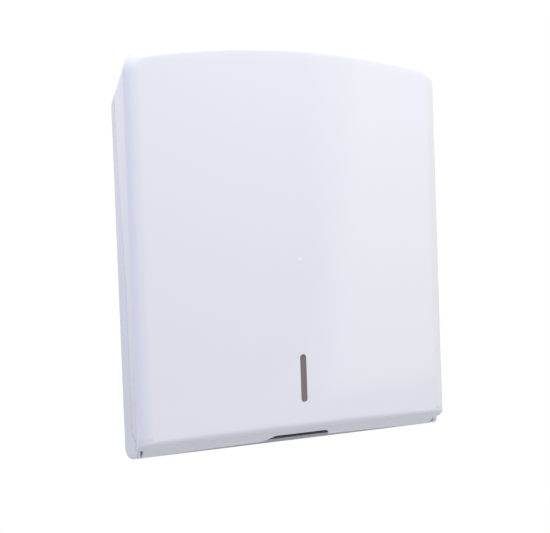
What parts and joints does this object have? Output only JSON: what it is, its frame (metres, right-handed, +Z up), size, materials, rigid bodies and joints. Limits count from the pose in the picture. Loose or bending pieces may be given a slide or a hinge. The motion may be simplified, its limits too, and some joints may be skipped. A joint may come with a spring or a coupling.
{
  "type": "folded towel dispenser",
  "caption": "Wall dispenser for folded paper towels: arched white cover with a sight slot, hinged at the foot of a rear body with a paper mouth, held shut by a sprung key latch.",
  "frame": {"origin": "centre of the wall screw pattern, on the back face", "axes": "+Z up, +Y into the wall, +X to the right for a person in front of the dispenser"},
  "size_m": [0.28, 0.132, 0.367],
  "materials": {
    "cover_plastic": "polished white injection-moulded plastic",
    "rear_plastic": "semi-gloss white injection-moulded plastic",
    "smoked_window": "smoked polycarbonate",
    "pin_plastic": "natural acetal",
    "latch_plastic": "grey acetal",
    "spring_steel": "drawn spring wire",
    "screw_steel": "zinc plated"
  },
  "bodies": {
    "rear": {"rear_body": "rear_plastic", "latch_housing": "latch_plastic", "housing_screws": "screw_steel", "latch_spring": "spring_steel"},
    "cover": {"front_cover": "cover_plastic", "sight_window": "smoked_window", "hinge_pin_left": "pin_plastic", "hinge_pin_right": "pin_plastic"},
    "latch": {"latch_slide": "latch_plastic"}
  },
  "joints": [
    {"name": "cover_hinge", "type": "hinge", "parent": "rear", "child": "cover", "pos_m": [0, -0.102, -0.1625], "axis": [1, 0, 0], "range_deg": [0, 140]},
    {"name": "latch_press", "type": "slide", "parent": "rear", "child": "latch", "axis": [0, 0, -1], "range_m": [0, 0.005], "stiffness_N_per_m": 400, "springref_m": -0.005, "deforming": ["latch_spring"]}
  ]
}
